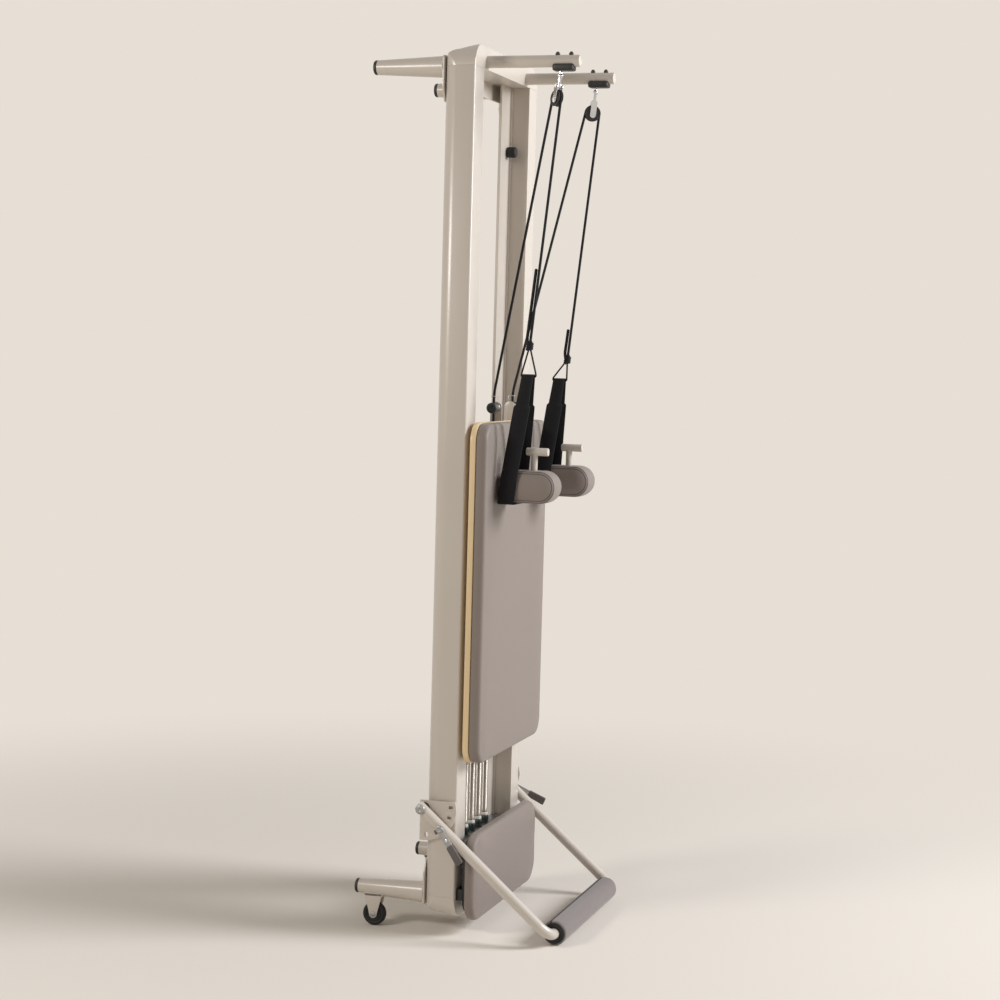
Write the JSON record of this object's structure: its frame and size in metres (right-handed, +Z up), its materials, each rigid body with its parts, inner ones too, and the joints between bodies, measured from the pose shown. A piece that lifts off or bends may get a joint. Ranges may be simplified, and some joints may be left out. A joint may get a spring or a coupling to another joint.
{
  "type": "pilates reformer stored upright",
  "caption": "Full-length pilates reformer stored on end, with sliding padded carriage, springs, footbar, rope arms, pulleys, straps and transport wheels.",
  "frame": {"origin": "centre of the bounding box at the floor", "axes": "+Z up along the rails towards the head end, -Y towards the upholstered side, +X across the frame"},
  "size_m": [0.7076, 0.6188, 2.437],
  "materials": {
    "cream_paint": "semi-gloss powder coat",
    "black_plastic": "matte",
    "black_rubber": "matte",
    "chrome": "polished",
    "steel": "satin",
    "wood": "clear lacquer",
    "upholstery": "fine-grained synthetic leather",
    "webbing": "woven",
    "grip": "matte",
    "foam_cover": "stretch cloth over foam"
  },
  "bodies": {
    "frame": {"foot_end_cap": "cream_paint", "footbar_bracket_left": "cream_paint", "footbar_bracket_right": "cream_paint", "head_end_cap": "cream_paint", "leg_cap_foot_left": "black_plastic", "leg_cap_foot_right": "black_plastic", "leg_cap_head_left": "black_plastic", "leg_cap_head_right": "black_plastic", "leg_foot_left": "cream_paint", "leg_foot_right": "cream_paint", "leg_head_left": "cream_paint", "leg_head_right": "cream_paint", "pivot_bolt_left": "chrome", "pivot_bolt_right": "chrome", "platform_board": "black_plastic", "platform_pad": "upholstery", "pulley_block_left": "chrome", "pulley_block_right": "chrome", "pulley_saddle_left": "black_plastic", "pulley_saddle_right": "black_plastic", "rail_left": "cream_paint", "rail_right": "cream_paint", "rope_arm_left": "cream_paint", "rope_arm_right": "cream_paint", "rope_left": "webbing", "rope_right": "webbing", "spring_1": "chrome", "spring_2": "chrome", "spring_3": "chrome", "spring_4": "chrome", "spring_bar": "steel", "stop_foot_left": "black_rubber", "stop_foot_right": "black_rubber", "stop_head_left": "black_rubber", "stop_head_right": "black_rubber"},
    "carriage": {"carriage_deck": "wood", "carriage_pad": "upholstery", "carriage_frame": "steel", "rest_post_left": "cream_paint", "rest_post_right": "cream_paint", "shoulder_rest_left": "upholstery", "shoulder_rest_right": "upholstery", "rope_cleat_left": "black_plastic", "rope_cleat_right": "black_plastic", "strap_left": "webbing", "strap_right": "webbing"},
    "footbar": {"footbar": "cream_paint", "footbar_foam": "foam_cover"},
    "latch_left": {"latch_left": "steel", "latch_grip_left": "grip"},
    "transport_wheel_left": {"transport_wheel_left": "black_rubber"},
    "pulley_sheave_left": {"pulley_sheave_left": "black_plastic"},
    "roller_foot_left": {"roller_foot_left": "black_rubber"},
    "roller_head_left": {"roller_head_left": "black_rubber"},
    "latch_right": {"latch_right": "steel", "latch_grip_right": "grip"},
    "transport_wheel_right": {"transport_wheel_right": "black_rubber"},
    "pulley_sheave_right": {"pulley_sheave_right": "black_plastic"},
    "roller_foot_right": {"roller_foot_right": "black_rubber"},
    "roller_head_right": {"roller_head_right": "black_rubber"}
  },
  "joints": [
    {"name": "carriage_slide", "type": "slide", "parent": "frame", "child": "carriage", "axis": [0, 0, 1], "range_m": [0, 0.775], "stiffness_N_per_m": 500, "deforming": ["spring_1", "spring_2", "spring_3", "spring_4", "rope_left", "rope_right", "strap_left", "strap_right"]},
    {"name": "footbar_pivot", "type": "hinge", "parent": "frame", "child": "footbar", "pos_m": [0, 0.09612, 0.355], "axis": [1, 0, 0], "range_deg": [-44, 44]},
    {"name": "latch_left_turn", "type": "hinge", "parent": "footbar", "child": "latch_left", "pos_m": [0, 0.03861, 0.30531], "axis": [1, 0, 0], "range_deg": [-37, 7]},
    {"name": "latch_right_turn", "type": "hinge", "parent": "footbar", "child": "latch_right", "pos_m": [0, 0.03861, 0.30531], "axis": [1, 0, 0], "range_deg": [-5, 39]},
    {"name": "transport_wheel_left_spin", "type": "hinge", "parent": "frame", "child": "transport_wheel_left", "pos_m": [-0.258, 0.25242, 0.033], "axis": [1, 0, 0], "continuous": true},
    {"name": "transport_wheel_right_spin", "type": "hinge", "parent": "frame", "child": "transport_wheel_right", "pos_m": [0.258, 0.25242, 0.033], "axis": [1, 0, 0], "continuous": true},
    {"name": "pulley_sheave_left_spin", "type": "hinge", "parent": "frame", "child": "pulley_sheave_left", "pos_m": [-0.188, -0.19053, 2.29508], "axis": [0.766, -0.6365, -0.0895], "continuous": true},
    {"name": "pulley_sheave_right_spin", "type": "hinge", "parent": "frame", "child": "pulley_sheave_right", "pos_m": [0.188, -0.19157, 2.29495], "axis": [0.891, 0.4506, 0.0553], "continuous": true},
    {"name": "roller_foot_left_spin", "type": "hinge", "parent": "carriage", "child": "roller_foot_left", "pos_m": [-0.136, 0.03482, 0.537], "axis": [1, 0, 0], "continuous": true},
    {"name": "roller_foot_right_spin", "type": "hinge", "parent": "carriage", "child": "roller_foot_right", "pos_m": [0.136, 0.03482, 0.537], "axis": [1, 0, 0], "continuous": true},
    {"name": "roller_head_left_spin", "type": "hinge", "parent": "carriage", "child": "roller_head_left", "pos_m": [-0.136, 0.03482, 1.353], "axis": [1, 0, 0], "continuous": true},
    {"name": "roller_head_right_spin", "type": "hinge", "parent": "carriage", "child": "roller_head_right", "pos_m": [0.136, 0.03482, 1.353], "axis": [1, 0, 0], "continuous": true}
  ],
  "couplings": [
    {"joint": "roller_foot_left_spin", "follows": "carriage_slide", "rad_per_m": -37.037},
    {"joint": "roller_foot_right_spin", "follows": "carriage_slide", "rad_per_m": -37.037},
    {"joint": "roller_head_left_spin", "follows": "carriage_slide", "rad_per_m": -37.037},
    {"joint": "roller_head_right_spin", "follows": "carriage_slide", "rad_per_m": -37.037}
  ]
}
